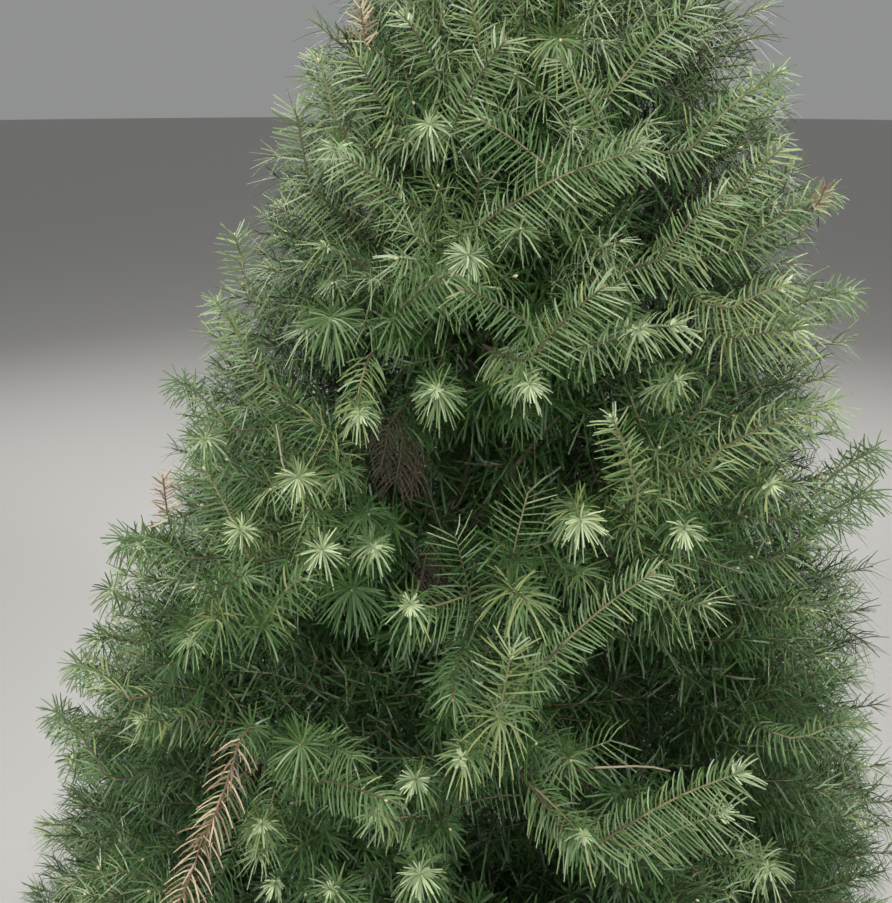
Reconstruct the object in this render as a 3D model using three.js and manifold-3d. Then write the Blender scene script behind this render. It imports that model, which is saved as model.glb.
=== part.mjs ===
// A young Christmas tree as it grows in a plantation, rooted in level ground.
// One tapering trunk with a slight lean carries six tiers of boughs, and each
// bough holds one fan-shaped mass of needles out to the edge of the crown.
// Units are millimetres, +Z is up, and the origin is the middle of the flat cut
// under the trunk, at ground level.

import * as THREE from "three";
import { mergeVertices } from "three/addons/utils/BufferGeometryUtils.js";
import Module from "manifold-3d";

const wasm = await Module();
wasm.setup();

// Driving dimensions
const TREE_HEIGHT = 2050;
const CROWN_RADIUS = 795; // of the crown's outline, carried down to the ground
const CROWN_BULGE = 0.7; // power that rounds the crown's cone into a bullet
const CROWN_HEAVY_SIDE = 0.13; // share fuller towards +X, for each metre of height
const LEAN = 0.042; // sideways run of the trunk for each unit of height
const TRUNK_SWEEP = 14; // how far the trunk bows out of its straight line
const TRUNK_RADIUS = 45; // just above the root flare
const TRUNK_TIP_RADIUS = 3;
const FLARE_RADIUS = 17; // added at ground level
const FLARE_HEIGHT = 55;
const FLARE_LOBES = 5;
const FLARE_LOBE_DEPTH = 0.45;
const TRUNK_SIDES = 16;
const TRUNK_RINGS = 18;
const TRUNK_RING_CROWDING = 1.35; // above 1, rings are closer near the foot
const LEADER_TOP = 2030;

// Each tier: its height on the trunk, its number of boughs, the turn of its
// first bough in degrees from +X, and how steeply its boughs leave and end
const TIERS = [
  { height: 165, boughs: 5, turn: -90, rise: 0.02, upturn: 0.06 },
  { height: 385, boughs: 6, turn: -75, rise: 0.1, upturn: 0.1 },
  { height: 630, boughs: 5, turn: -88, rise: 0.2, upturn: 0.15 },
  { height: 890, boughs: 5, turn: -58, rise: 0.32, upturn: 0.2 },
  { height: 1150, boughs: 4, turn: -96, rise: 0.46, upturn: 0.24 },
  { height: 1400, boughs: 4, turn: -84, rise: 0.62, upturn: 0.3 },
];
const TOP_WHORL = { height: 1640, rise: 0.8, upturn: 0.35 };

// Places where the crown is open: height, turn in degrees, half height and half
// width, and how far in it goes as a share of the crown's radius
const HOLLOWS = [
  { height: 1130, turn: -91, tall: 90, wide: 90, deep: 0.5 },
  { height: 890, turn: -68, tall: 60, wide: 70, deep: 0.35 },
  { height: 720, turn: -84, tall: 60, wide: 60, deep: 0.35 },
];

const MASS_START = 0.25; // where needles begin, as a share of the crown's radius
const MASS_START_LEAST = 50; // the same, close to the thin top of the trunk
const LEAST_REACH = 30; // of a mass from there, however deep a hollow is
const MASS_INNER_SHARE = 0.45; // of the room between tiers, filled at the inner end
const MASS_OUTER_SHARE = 0.99; // and at the edge of the crown
const LOWEST_DEPTH = 105; // of the lowest masses, below their boughs
const SECTOR_GAP = 0.04; // share of each tier's turn left open between masses
const ROUNDING = 0.3; // how far each mass goes from a block towards a ball
const SHOOTS_PER_RIM = 3; // leading shoots that show at the rim of each mass
const NOTCH_DEPTH = 0.15; // of the notches between them
const TIP_UNEVENNESS = 0.05; // share by which some tips fall short of the outline
const RIM_SLOPE = 0.05; // share by which a rim's upper and lower edges stand back
const DIMPLE_DEPTH = 0.12; // of the hollows in the upper and lower faces

const BOUGH_RADIUS = 12.5; // at the trunk, on the lowest tier
const BOUGH_TAPER = 0.72; // radius left where the bough enters its mass
const BOUGH_TIER_SHRINK = 0.13; // share by which each tier's boughs are thinner
const BOUGH_COLLAR = 0.35; // swelling where the bough leaves the trunk
const BOUGH_COLLAR_FADE = 6; // how fast the swelling goes along the bough
const BOUGH_OVERRUN = 0.12; // run on into the mass before it is cut, as a share
const BOUGH_SIDES = 7;
const BOUGH_STEPS = 4;

const TOP_START = 1588; // height where the crown's top mass begins
const TOP_SWELL = 0.3; // share of its height by which it reaches the outline
const TOP_LOBES = 5;
const TOP_LOBE_DEPTH = 0.34;
const CLEARANCE = 0.7; // between the bark and what grows round it
const BOUGH_END_GAP = 3.5; // length and width added to a mass where a bough meets it

const BARK_BROWN = "#5b4a3c";
const BRANCH_BROWN = "#6b5844";
const NEEDLE_GREEN = "#3f5f38";

const FULL_TURN = 2 * Math.PI;

// A repeatable number from 0 to 1 for each pair of whole numbers
function chance(a, b) {
  const x = Math.sin(a * 127.1 + b * 311.7 + 17.3) * 43758.5453;
  return x - Math.floor(x);
}

// A point at a height, on a turn from +X and at a distance from the trunk's line
function placeAround(height, turn, distance) {
  const sweep = TRUNK_SWEEP * Math.sin((FULL_TURN * height) / TREE_HEIGHT);
  return new THREE.Vector3(
    LEAN * height - sweep + distance * Math.cos(turn),
    0.5 * sweep + distance * Math.sin(turn),
    height,
  );
}

function trunkRadius(height) {
  const left = Math.max(0, 1 - height / LEADER_TOP);
  return TRUNK_TIP_RADIUS + (TRUNK_RADIUS - TRUNK_TIP_RADIUS) * left ** 0.9;
}

// Distance from the trunk's line to the crown's outline at a height and a turn
function crownRadius(height, turn) {
  const left = Math.max(0, 1 - height / TREE_HEIGHT);
  const side = 1 + (CROWN_HEAVY_SIDE * Math.cos(turn) * height) / 1000;
  return CROWN_RADIUS * left ** CROWN_BULGE * side;
}

// How far in the crown's surface goes at a place, as a share of its radius
function hollowShare(height, turn, radius) {
  return HOLLOWS.reduce((most, hollow) => {
    const off = turn - THREE.MathUtils.degToRad(hollow.turn);
    const sideways = (radius * Math.sin(off)) / hollow.wide;
    const upward = (height - hollow.height) / hollow.tall;
    const front = Math.cos(off) > 0 ? 1 : 0;
    const share = hollow.deep * Math.exp(-(sideways ** 2) - upward ** 2);
    return Math.max(most, front * share);
  }, 0);
}

// Height of a tier's boughs at a distance from the trunk
function boughHeight(tier, reach) {
  const share = reach / CROWN_RADIUS;
  return tier.height + reach * (tier.rise + tier.upturn * share);
}

// Half the height between a tier's boughs and the next tier's
function roomAbove(tierIndex, reach) {
  const next = TIERS[tierIndex + 1] ?? TOP_WHORL;
  return (boughHeight(next, reach) - boughHeight(TIERS[tierIndex], reach)) / 2;
}

function roomBelow(tierIndex, reach) {
  return tierIndex > 0 ? roomAbove(tierIndex - 1, reach) : LOWEST_DEPTH;
}

// Moves every vertex of a closed geometry and returns it as a solid
function solidFrom(geometry, move) {
  geometry.deleteAttribute("normal");
  geometry.deleteAttribute("uv");
  const merged = mergeVertices(geometry, 1e-5);
  const corners = merged.attributes.position;
  const point = new THREE.Vector3();
  for (let i = 0; i < corners.count; i++) {
    const moved = move(point.fromBufferAttribute(corners, i));
    corners.setXYZ(i, moved.x, moved.y, moved.z);
  }
  const mesh = new wasm.Mesh({
    numProp: 3,
    vertProperties: corners.array,
    triVerts: new Uint32Array(merged.index.array),
  });
  return new wasm.Manifold(mesh);
}

function meshFrom(solid, name, material) {
  const { numProp, numVert, vertProperties, triVerts } = solid.getMesh();
  const corners = new Float32Array(numVert * 3);
  for (let i = 0; i < numVert; i++) {
    corners.set(vertProperties.subarray(i * numProp, i * numProp + 3), i * 3);
  }
  const geometry = new THREE.BufferGeometry();
  geometry.setAttribute("position", new THREE.BufferAttribute(corners, 3));
  geometry.setIndex(new THREE.BufferAttribute(triVerts, 1));
  geometry.computeVertexNormals();
  const mesh = new THREE.Mesh(geometry, material);
  mesh.name = name;
  return mesh;
}

// The largest body of a solid that a cut may have split
function largest(solid) {
  return solid.decompose().sort((a, b) => b.volume() - a.volume())[0];
}

// The trunk: rings round its leaning line, with a lobed flare at the foot.
// "grown" makes the slightly fatter copy that other pieces are cut with.
function trunkSolid(grown) {
  const column = new THREE.CylinderGeometry(1, 1, 1, TRUNK_SIDES, TRUNK_RINGS);
  return solidFrom(column, (p) => {
    const share = (p.y + 0.5) ** TRUNK_RING_CROWDING;
    const height = LEADER_TOP * share;
    const turn = Math.atan2(-p.z, p.x);
    const lobe = 1 + FLARE_LOBE_DEPTH * Math.cos(FLARE_LOBES * turn);
    const flare = FLARE_RADIUS * lobe * Math.exp(-height / FLARE_HEIGHT);
    const radius = Math.hypot(p.x, p.z) * (trunkRadius(height) + flare + grown);
    return placeAround(height + (share > 0.5 ? grown : 0), turn, radius);
  });
}

// One mass of needles: a rounded block drawn out into a fan that fills its own
// sector of its tier, with a notched rim that follows the crown's outline
function massSolid(tierIndex, index) {
  const tier = TIERS[tierIndex];
  const spread = FULL_TURN / tier.boughs;
  const middle = THREE.MathUtils.degToRad(tier.turn) + index * spread;
  const half = (spread / 2) * (1 - SECTOR_GAP);
  const seed = tierIndex * 10 + index;
  const start = Math.max(
    MASS_START * crownRadius(tier.height, middle),
    MASS_START_LEAST,
  );
  // Height at a distance from the trunk: deep is -1 underneath to 1 on top
  const massHeight = (reach, deep, fill) => {
    const room = deep > 0 ? roomAbove(tierIndex, reach) : roomBelow(tierIndex, reach);
    return boughHeight(tier, reach) + deep * fill * room;
  };
  const block = new THREE.BoxGeometry(2, 2, 2, 4, 6, 2);
  return solidFrom(block, (p) => {
    const corner = Math.round(p.x * 2) + 7 * Math.round(p.y * 3) + 60 * p.z;
    const lump = chance(seed, corner);
    const edge = Math.abs(p.z);
    const notch = 0.5 - 0.5 * Math.cos(SHOOTS_PER_RIM * Math.PI * p.y);
    const rounded = p.clone().normalize();
    p.lerp(rounded, ROUNDING);
    const along = (p.x + 1) / 2;
    const turn = middle + half * p.y;
    const share = MASS_INNER_SHARE + (MASS_OUTER_SHARE - MASS_INNER_SHARE) * along;
    const fill = share * (1 - DIMPLE_DEPTH * lump);
    let rim = crownRadius(tier.height, turn);
    for (let pass = 0; pass < 6; pass++) {
      rim = crownRadius(massHeight(rim, p.z, fill), turn);
    }
    const open = hollowShare(massHeight(rim, p.z, fill), turn, rim);
    const short =
      NOTCH_DEPTH * notch + TIP_UNEVENNESS * lump + RIM_SLOPE * edge;
    const outer = Math.max(start + LEAST_REACH, rim * (1 - open) * (1 - short * along ** 2));
    const radius = start + (outer - start) * along;
    return placeAround(massHeight(radius, p.z, fill), turn, radius);
  });
}

// The crown's top: one mass round the leader, with a lobe for each top bough
function topSolid() {
  const ball = new THREE.SphereGeometry(1, 3 * TOP_LOBES, 9);
  return solidFrom(ball, (p) => {
    const share = (p.y + 1) / 2;
    const turn = Math.atan2(-p.z, p.x);
    const height = TOP_START + (TREE_HEIGHT - TOP_START) * share;
    const swell = Math.min(1, share / TOP_SWELL) ** 0.6;
    const round = Math.hypot(p.x, p.z) ** 0.3;
    const lobe = 0.5 - 0.5 * Math.cos(TOP_LOBES * turn);
    const reach = crownRadius(height, turn) * (1 - TOP_LOBE_DEPTH * lobe);
    return placeAround(height, turn, reach * swell * round);
  });
}

// One bough: a tapering limb from the trunk's line to well inside its mass.
// It is cut back later to where it meets the bark and the needles.
function boughSolid(tier, tierIndex, index) {
  const turn =
    THREE.MathUtils.degToRad(tier.turn) + (index * FULL_TURN) / tier.boughs;
  const tip = crownRadius(tier.height, turn);
  const reach = Math.max(MASS_START * tip, MASS_START_LEAST) + BOUGH_OVERRUN * tip;
  const thick = BOUGH_RADIUS * (1 - BOUGH_TIER_SHRINK * tierIndex);
  const side = new THREE.Vector3(Math.sin(turn), -Math.cos(turn), 0);
  const rod = new THREE.CylinderGeometry(1, 1, 1, BOUGH_SIDES, BOUGH_STEPS);
  return solidFrom(rod, (p) => {
    const share = p.y + 0.5;
    const distance = reach * share;
    const height = boughHeight(tier, distance);
    const collar = BOUGH_COLLAR * Math.exp(-BOUGH_COLLAR_FADE * share);
    const radius = thick * (1 - (1 - BOUGH_TAPER) * share + collar);
    const point = placeAround(height, turn, distance - radius * p.z * tier.rise);
    point.z += radius * p.z;
    return point.addScaledVector(side, radius * p.x);
  });
}

// A slightly larger copy of a mass, to cut the end of its bough with
function grownCopy(solid) {
  const { min, max } = solid.boundingBox();
  const middle = min.map((low, i) => (low + max[i]) / 2);
  const scale = min.map((low, i) => 1 + BOUGH_END_GAP / (max[i] - low));
  const back = middle.map((m, i) => m * (1 - scale[i]));
  return solid.scale(scale).translate(back);
}

const bark = new THREE.MeshStandardMaterial({
  color: BARK_BROWN,
  roughness: 0.9,
  metalness: 0,
});
const branchBark = new THREE.MeshStandardMaterial({
  color: BRANCH_BROWN,
  roughness: 0.85,
  metalness: 0,
});
const needles = new THREE.MeshStandardMaterial({
  color: NEEDLE_GREEN,
  roughness: 0.7,
  metalness: 0,
});

const tree = new THREE.Group();
const trunkCutter = trunkSolid(CLEARANCE);
tree.add(meshFrom(trunkSolid(0), "trunk", bark));

TIERS.forEach((tier, tierIndex) => {
  for (let index = 0; index < tier.boughs; index++) {
    const label = `${tierIndex + 1}_${index + 1}`;
    const mass = massSolid(tierIndex, index);
    const bough = boughSolid(tier, tierIndex, index)
      .subtract(trunkCutter)
      .subtract(grownCopy(mass));
    tree.add(meshFrom(largest(bough), `bough_${label}`, branchBark));
    tree.add(meshFrom(mass, `foliage_${label}`, needles));
  }
});

const top = largest(topSolid().subtract(trunkCutter));
tree.add(meshFrom(top, "foliage_top", needles));

export default tree;
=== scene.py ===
# %% [markdown]
# # A young Christmas tree
# The tree has one tapering trunk, six whorls of boughs and a full crown of soft,
# slender needles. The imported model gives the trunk, the boughs and one closed mass
# for the foliage of each bough. This file grows twigs and needles inside those
# masses, so that the crown keeps its outline and gaps.

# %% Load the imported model
import math
import random
from itertools import product

import bmesh
import bpy
import numpy as np
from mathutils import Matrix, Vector, noise
from mathutils.bvhtree import BVHTree
from mathutils.kdtree import KDTree


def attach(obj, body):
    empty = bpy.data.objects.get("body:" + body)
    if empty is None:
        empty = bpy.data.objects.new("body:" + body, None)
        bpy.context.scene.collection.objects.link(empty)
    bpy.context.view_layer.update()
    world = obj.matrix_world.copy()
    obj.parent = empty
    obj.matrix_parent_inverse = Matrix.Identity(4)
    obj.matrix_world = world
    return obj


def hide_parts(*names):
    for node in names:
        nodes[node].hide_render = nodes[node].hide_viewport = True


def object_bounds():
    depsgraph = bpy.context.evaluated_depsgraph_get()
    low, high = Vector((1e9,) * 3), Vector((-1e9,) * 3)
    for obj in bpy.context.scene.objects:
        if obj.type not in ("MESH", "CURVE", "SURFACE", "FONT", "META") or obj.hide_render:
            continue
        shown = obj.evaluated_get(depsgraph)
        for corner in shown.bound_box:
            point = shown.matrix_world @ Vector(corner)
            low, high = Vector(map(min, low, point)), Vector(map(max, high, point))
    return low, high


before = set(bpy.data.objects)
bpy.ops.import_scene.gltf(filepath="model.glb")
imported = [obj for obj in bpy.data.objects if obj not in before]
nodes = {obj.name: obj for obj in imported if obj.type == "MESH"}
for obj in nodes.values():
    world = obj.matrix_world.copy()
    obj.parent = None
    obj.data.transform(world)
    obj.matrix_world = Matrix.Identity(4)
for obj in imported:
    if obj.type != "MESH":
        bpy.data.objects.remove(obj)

cad_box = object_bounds()
print("CAD box:", [round(x, 3) for corner in cad_box for x in corner])

# %% [markdown]
# The photograph was taken with a phone held at eye height, close to the tree and
# tilted down, so the top and the foot are outside the frame. It is 892 pixels wide
# and 903 high, and the sensor lies along its longer side, which is the height.

# %% Camera
IMAGE_WIDTH = 892
IMAGE_HEIGHT = 903
FOCAL_PIXELS = 1100
SENSOR = 36
CAMERA_PLACE = Vector((0.02, -1.5, 1.5))
CAMERA_TILT = math.radians(19)


def add_object(name, data):
    """A new object in the scene."""
    made = bpy.data.objects.new(name, data)
    bpy.context.scene.collection.objects.link(made)
    return made


camera_data = bpy.data.cameras.new("camera")
camera_data.sensor_width = SENSOR
camera_data.lens = SENSOR * FOCAL_PIXELS / IMAGE_HEIGHT
camera = add_object("camera", camera_data)
camera.location = CAMERA_PLACE
camera.rotation_euler = (math.radians(90) - CAMERA_TILT, 0, 0)
bpy.context.scene.camera = camera


def sight_line(px, py):
    """Direction in the world from the camera through a pixel of the photograph."""
    right = (px - IMAGE_WIDTH / 2) / FOCAL_PIXELS
    down = (py - IMAGE_HEIGHT / 2) / FOCAL_PIXELS
    ahead = Vector((0, math.cos(CAMERA_TILT), -math.sin(CAMERA_TILT)))
    below = Vector((0, -math.sin(CAMERA_TILT), -math.cos(CAMERA_TILT)))
    return (ahead + right * Vector((1, 0, 0)) + down * below).normalized()


def project(point):
    """Pixel across and down, and distance along the view, of a place on the tree."""
    away = point - CAMERA_PLACE
    ahead = away.y * math.cos(CAMERA_TILT) - away.z * math.sin(CAMERA_TILT)
    below = -away.y * math.sin(CAMERA_TILT) - away.z * math.cos(CAMERA_TILT)
    across = IMAGE_WIDTH / 2 + FOCAL_PIXELS * away.x / ahead
    down = IMAGE_HEIGHT / 2 + FOCAL_PIXELS * below / ahead
    return across, down, ahead


print("lens:", round(camera_data.lens, 2), "mm")

# %% [markdown]
# The trunk's line, the crown's outline and the rise of each whorl are the same
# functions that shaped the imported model, here in metres. They tell a twig which
# way is outward, and let a bough follow its own solid.

# %% Shape of the tree
TREE_HEIGHT = 2.05
CROWN_RADIUS = 0.795
OUTLINE_POWER = 0.7
RIGHT_FULLNESS = 0.13
LEAN = 0.042
TRUNK_SWEEP = 0.014
LEADER_TOP = 2.03
TIERS = [
    {"height": 0.165, "boughs": 5, "turn": -90, "rise": 0.02, "upturn": 0.06},
    {"height": 0.385, "boughs": 6, "turn": -75, "rise": 0.10, "upturn": 0.10},
    {"height": 0.630, "boughs": 5, "turn": -88, "rise": 0.20, "upturn": 0.15},
    {"height": 0.890, "boughs": 5, "turn": -58, "rise": 0.32, "upturn": 0.20},
    {"height": 1.150, "boughs": 4, "turn": -96, "rise": 0.46, "upturn": 0.24},
    {"height": 1.400, "boughs": 4, "turn": -84, "rise": 0.62, "upturn": 0.30},
]
UP = Vector((0, 0, 1))


def place_around(height, turn, distance):
    """A point at a height, on a turn from +X and at a distance from the trunk's line."""
    sweep = TRUNK_SWEEP * math.sin(2 * math.pi * height / TREE_HEIGHT)
    return Vector((
        LEAN * height - sweep + distance * math.cos(turn),
        0.5 * sweep + distance * math.sin(turn),
        height,
    ))


def outline(height, turn):
    """Distance from the trunk's line to the crown's outline."""
    left = max(0.0, 1 - height / TREE_HEIGHT)
    return CROWN_RADIUS * left ** OUTLINE_POWER * (1 + RIGHT_FULLNESS * math.cos(turn) * height)


def bough_height(tier, reach):
    """Height of a bough's line at a distance from the trunk's line."""
    return tier["height"] + reach * (tier["rise"] + tier["upturn"] * reach / CROWN_RADIUS)


def outward(point):
    """Level direction away from the trunk's line."""
    away = point - place_around(point.z, 0, 0)
    away.z = 0
    return away.normalized() if away.length > 1e-6 else Vector((0, -1, 0))


def depth_in_crown(point):
    """How far inside the crown's outline a point lies."""
    away = point - place_around(point.z, 0, 0)
    turn = math.atan2(away.y, away.x)
    return outline(point.z, turn) - math.hypot(away.x, away.y)


# %% [markdown]
# Each foliage mass becomes a search tree of its faces, which tells whether a point
# is inside: a line from there to the open crosses the skin an odd number of times.
# The CAD mesh is merged first, because its triangles are loose.

# %% Foliage masses to grow in
SKIN_GAP = 1e-5
PROBE_WAY = Vector((0.31, 0.17, 0.93)).normalized()


class Mass:
    """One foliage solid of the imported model, as a room for twigs to grow in."""

    def __init__(self, name):
        shell = bmesh.new()
        shell.from_mesh(nodes[name].data)
        bmesh.ops.remove_doubles(shell, verts=shell.verts, dist=SKIN_GAP)
        self.name = name
        self.tree = BVHTree.FromBMesh(shell)
        self.faces = [(f.calc_area(), f.normal.copy(), [v.co.copy() for v in f.verts])
                      for f in shell.faces]
        shell.free()

    def inside(self, point, margin=0.0):
        """Whether a point is inside, or outside by less than the margin."""
        if margin and self.tree.find_nearest(point, margin)[0] is not None:
            return True
        crossings = 0
        spot = point
        while True:
            hit = self.tree.ray_cast(spot, PROBE_WAY)[0]
            if hit is None:
                return crossings % 2 == 1
            crossings += 1
            spot = hit + PROBE_WAY * SKIN_GAP


masses = {name: Mass(name) for name in sorted(nodes) if name.startswith("foliage")}
print(len(masses), "foliage masses")

# %% [markdown]
# Some shoots catch the eye in the photograph: round stars where a shoot points
# at the viewer, long combs seen from the side, one broad brush, dead sprays and
# bare twigs. Combs in the shade and twigs off the trunk show in the hollow at the
# middle. All are named here by their pixels, and so are the dark places between
# them, where little grows. A pixel becomes a place on the tree where its line of
# sight meets the crown, so each shoot looks right from other sides too.

# %% Shoots placed by the photograph
STARS = [
    # across, down, and reach in millimetres of the new growth
    (430, 125, 17), (468, 255, 24), (530, 385, 17), (297, 478, 25), (322, 550, 26),
    (240, 530, 22), (582, 522, 26), (685, 530, 20), (772, 485, 13), (410, 605, 15),
    (415, 780, 18), (262, 825, 11), (420, 875, 22), (335, 150, 20), (360, 415, 12),
    (435, 390, 9), (330, 890, 10), (528, 602, 0), (375, 550, 9),
    (190, 640, 9), (140, 720, 8), (95, 640, 9), (215, 620, 0), (460, 760, 10),
    (680, 380, 8), (640, 330, 12), (330, 320, 0), (770, 870, 12),
    (584, 836, 10), (205, 440, 12), (140, 545, 8), (110, 590, 8), (70, 760, 9),
    (352, 590, 0), (560, 40, 0), (300, 745, 0), (375, 815, 8),
]
SPRAYS = {
    # across and down of base and tip, and reach in millimetres of the new growth
    "live": [
        (480, 225, 640, 150, 0), (530, 360, 602, 288, 0), (690, 470, 832, 405, 8),
        (540, 668, 652, 574, 0), (590, 850, 742, 772, 14), (640, 850, 728, 812, 11),
        (690, 150, 782, 72, 7), (740, 250, 832, 192, 0), (740, 340, 802, 330, 12),
        (760, 330, 852, 292, 9), (790, 520, 878, 448, 0), (780, 560, 872, 490, 0),
        (660, 260, 720, 195, 0), (600, 345, 680, 325, 8), (250, 300, 235, 235, 0),
        (260, 380, 215, 300, 8), (230, 430, 175, 380, 0), (310, 190, 295, 110, 0),
        (190, 560, 120, 540, 0), (185, 630, 245, 575, 0), (130, 700, 75, 665, 0),
        (110, 780, 55, 710, 0), (610, 95, 690, 8, 0), (530, 325, 464, 290, 0),
        (392, 318, 450, 274, 0), (402, 202, 345, 158, 0), (451, 130, 504, 42, 0),
        (482, 66, 472, 4, 0), (436, 70, 404, 16, 9), (638, 495, 612, 418, 7),
        (800, 740, 860, 720, 0), (300, 780, 385, 800, 0), (560, 180, 480, 120, 0),
        (575, 205, 640, 140, 0), (600, 120, 560, 60, 0), (338, 130, 319, 62, 0),
        (385, 115, 357, 60, 0), (262, 628, 300, 578, 0), (700, 240, 780, 150, 0),
        (250, 560, 205, 470, 0), (735, 308, 786, 284, 10),
    ],
    "brush": [(499, 722, 512, 650, 4)],
    # across and down of base and tip, and depth in the crown in millimetres
    "dead": [
        (240, 738, 208, 830, 12), (206, 825, 178, 905, 0), (168, 520, 163, 478, 20),
        (814, 212, 826, 186, 10), (404, 428, 396, 480, 150), (388, 432, 380, 470, 130),
        (418, 440, 412, 486, 170), (428, 545, 418, 592, 150), (440, 560, 436, 596, 160),
        (400, 410, 372, 440, 140), (366, 46, 361, 8, 10),
    ],
    "shaded": [
        (502, 610, 528, 492, 110), (472, 606, 455, 535, 110), (545, 772, 612, 740, 110),
    ],
    "bare": [
        (622, 767, 670, 771, 70), (467, 803, 522, 795, 100), (282, 462, 276, 424, 30),
        (428, 490, 444, 540, 190),
    ],
}
TRUNK_TWIGS = [
    # across and down of base and tip, and depth of the tip in millimetres
    (470, 505, 560, 416, 120), (455, 530, 414, 468, 170), (466, 500, 474, 446, 200),
]
DARK_PLACES = [
    # across, down, half width, half height, depth in metres
    (455, 475, 84, 68, 0.17), (462, 500, 26, 34, 0.32), (612, 700, 56, 62, 0.26),
    (515, 856, 60, 58, 0.26), (395, 690, 48, 52, 0.19), (470, 346, 40, 34, 0.16),
    (640, 380, 38, 20, 0.08), (615, 632, 42, 34, 0.13), (250, 690, 28, 22, 0.07),
    (566, 462, 34, 48, 0.15), (610, 560, 22, 36, 0.08), (350, 385, 48, 46, 0.10),
    (350, 850, 28, 30, 0.10), (470, 720, 32, 24, 0.10), (640, 800, 40, 16, 0.08),
    (330, 668, 48, 56, 0.16), (345, 222, 38, 28, 0.09), (640, 735, 40, 30, 0.19),
    (574, 402, 26, 30, 0.12), (395, 290, 24, 20, 0.06), (530, 802, 42, 36, 0.16),
]
SIGHT_START = 0.6
SIGHT_STEP = 0.004
SIGHT_STEPS = 400


def crown_spot(px, py, inset):
    """Where a pixel's line of sight is that far inside the crown's outline."""
    way = sight_line(px, py)
    best = None
    for i in range(SIGHT_STEPS):
        point = CAMERA_PLACE + way * (SIGHT_START + SIGHT_STEP * i)
        depth = depth_in_crown(point)
        if best is None or depth > best[0]:
            best = (depth, point)
        if depth > inset:
            return point
    return best[1]


print(len(STARS), "stars;", {kind: len(rows) for kind, rows in SPRAYS.items()})

# %% [markdown]
# A conifer branches by rule. Every year a twig grows on at its tip and puts out
# a few side twigs just below it. Here a run is one twig from its base to its tip.
# Side runs leave it at its nodes, shorter towards the tip, and turn outward and up
# to the light. A run stops a little beyond its mass, and farther beyond in the
# clefts between masses. One whose tip would crowd another, or that would hide a
# shoot named above, is not grown.

# %% Runs of twig
YEAR = 0.125
NEEDLED_YEARS = 3
LEAST_VIGOUR = 0.85
VIGOUR_RANGE = 0.35
DRY_RUNS = 0.06
MUCH_DRY = 0.4
SOME_DRY = 0.3
LITTLE_DRY = 0.02
COMBING = 0.46
CURVE_PULL = 0.38
INNER_SPREAD = 0.3
STEP = 0.028
TIP_SPACING = 0.035
OUTER_SPACING = 0.050
RELIEF_DEPTH = 0.05
FILL_DEPTH = 0.42
LIGHT_PULL = 0.10
MARGIN = 0.018
LONG_MARGIN = 0.06
LOWEST = 0.06
LONG_SHARE = 0.12
CLEFT_MARGIN = 0.05
DEEP_MARGIN = 0.09
chance = random.Random(20)


class Run:
    """One twig from base to tip, with the foliage mass that it grows in."""

    def __init__(self, points, order, mass, kind="live", growth=0.0):
        self.points = points
        self.order = order
        self.mass = mass
        self.kind = kind
        self.growth = growth
        self.named = False
        self.shaded = False
        self.tone = 0
        self.combing = COMBING
        self.vigour = LEAST_VIGOUR + VIGOUR_RANGE * chance.random()
        self.needled = NEEDLED_YEARS * YEAR
        self.dead_from = 0.0
        self.dryness = MUCH_DRY if chance.random() < DRY_RUNS else LITTLE_DRY
        self.length = sum((b - a).length for a, b in zip(points, points[1:]))

    def at(self, from_tip):
        """Point and heading at a distance back from the tip."""
        left = from_tip
        for b, a in zip(self.points[::-1], self.points[-2::-1]):
            step = (b - a).length
            if left <= step or a is self.points[0]:
                heading = (b - a).normalized()
                return b - heading * min(left, step), heading
            left -= step


runs = []
tips = {}


def cell(point):
    """The cell of a point in the grid by which near tips are found."""
    return tuple(int(math.floor(x / TIP_SPACING)) for x in point)


def spacing_at(point):
    """How far apart tips stand: wide at the outline, close behind it, wider inside."""
    depth = max(0.0, depth_in_crown(point))
    if depth < RELIEF_DEPTH:
        return OUTER_SPACING + (TIP_SPACING - OUTER_SPACING) * depth / RELIEF_DEPTH
    return TIP_SPACING * (1 + INNER_SPREAD * depth / FILL_DEPTH)


def crowded(point):
    """Whether another tip is nearer than the spacing."""
    spacing = spacing_at(point)
    reach = math.ceil(spacing / TIP_SPACING)
    around = range(-reach, reach + 1)
    x, y, z = cell(point)
    for i, j, k in product(around, repeat=3):
        for other in tips.get((x + i, y + j, z + k), ()):
            if (other - point).length < spacing:
                return True
    return False


def keep(run):
    """Add a run to the tree and its tip to the grid."""
    runs.append(run)
    tips.setdefault(cell(run.points[-1]), []).append(run.points[-1])


def wander(size):
    """A small seeded random vector."""
    return Vector((chance.gauss(0, size), chance.gauss(0, size), chance.gauss(0, size)))


def curve_to(base, start, end, arrive):
    """Points of a smooth run from a base to an end, leaving and arriving on headings."""
    reach = (end - base).length
    count = max(4, round(reach / STEP) + 2)
    first = base + start * reach * CURVE_PULL
    second = end - arrive * reach * CURVE_PULL
    points = []
    for i in range(count):
        t = i / (count - 1)
        s = 1 - t
        near = base * s ** 3 + first * (3 * s * s * t)
        points.append(near + second * (3 * s * t * t) + end * t ** 3)
    return points


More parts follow.
